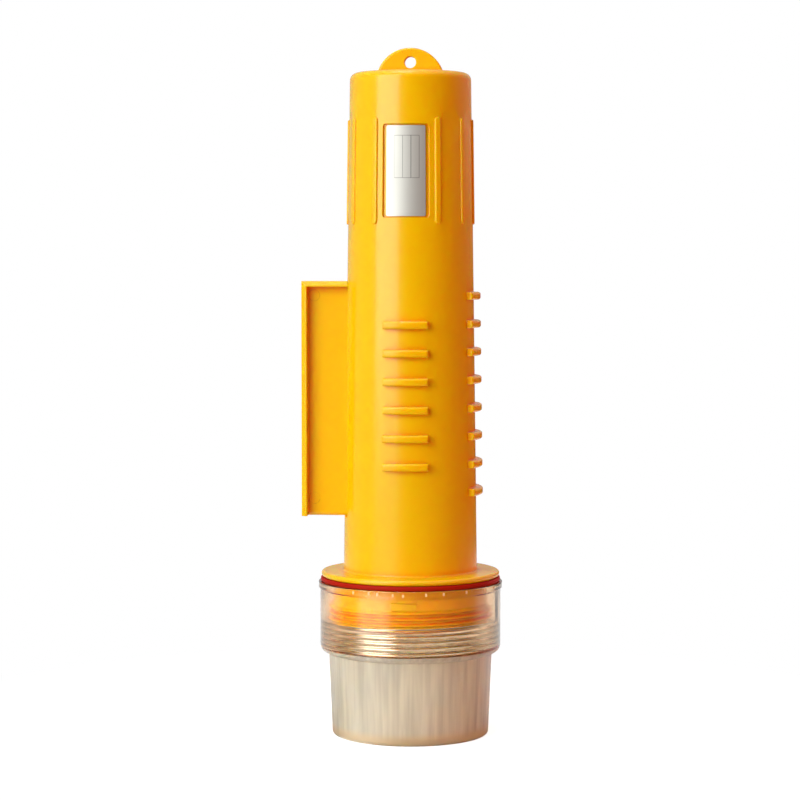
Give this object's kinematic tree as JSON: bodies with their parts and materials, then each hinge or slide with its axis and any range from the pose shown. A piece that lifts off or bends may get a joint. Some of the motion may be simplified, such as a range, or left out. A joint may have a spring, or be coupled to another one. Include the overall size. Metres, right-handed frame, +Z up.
{
  "type": "net tracking buoy",
  "caption": "Upright tapered float tube with a hanging lug, ribs, grip rungs and a side bracket, standing on a translucent screw cap that seals its foot.",
  "frame": {"origin": "centre of the screw cap's flat bottom, on the tube's axis", "axes": "+Z up along the tube's axis towards the hanging lug, -Y towards the front with the label, -X towards the side bracket"},
  "size_m": [0.1058, 0.0972, 0.3621],
  "materials": {
    "cap": "translucent milky moulded plastic, slightly yellowed",
    "seal": "smooth red silicone rubber",
    "housing": "satin moulded plastic, bright yellow",
    "label": "satin silver plate, blank",
    "end_plate": "satin moulded plastic, yellow",
    "socket": "nickel plated",
    "button": "black rubber boot",
    "lens": "clear lamp lens",
    "battery": "shrink wrapped cells"
  },
  "bodies": {
    "cap": {"cap": "cap"},
    "seal": {"seal_ring": "seal"},
    "housing": {"housing": "housing", "side_bracket": "housing", "label_plate": "label", "end_plate": "end_plate", "charging_socket": "socket", "power_button": "button", "indicator_lens": "lens", "battery_pack": "battery"}
  },
  "joints": [
    {"name": "housing_rise", "type": "slide", "parent": "cap", "child": "seal", "axis": [0, 0, 1], "range_m": [0, 0.028]},
    {"name": "housing_turn", "type": "hinge", "parent": "seal", "child": "housing", "pos_m": [0, 0, 0], "axis": [0, 0, 1], "range_deg": [0, 3330]}
  ],
  "couplings": [
    {"joint": "housing_rise", "follows": "housing_turn", "m_per_rad": 0.00047746}
  ]
}
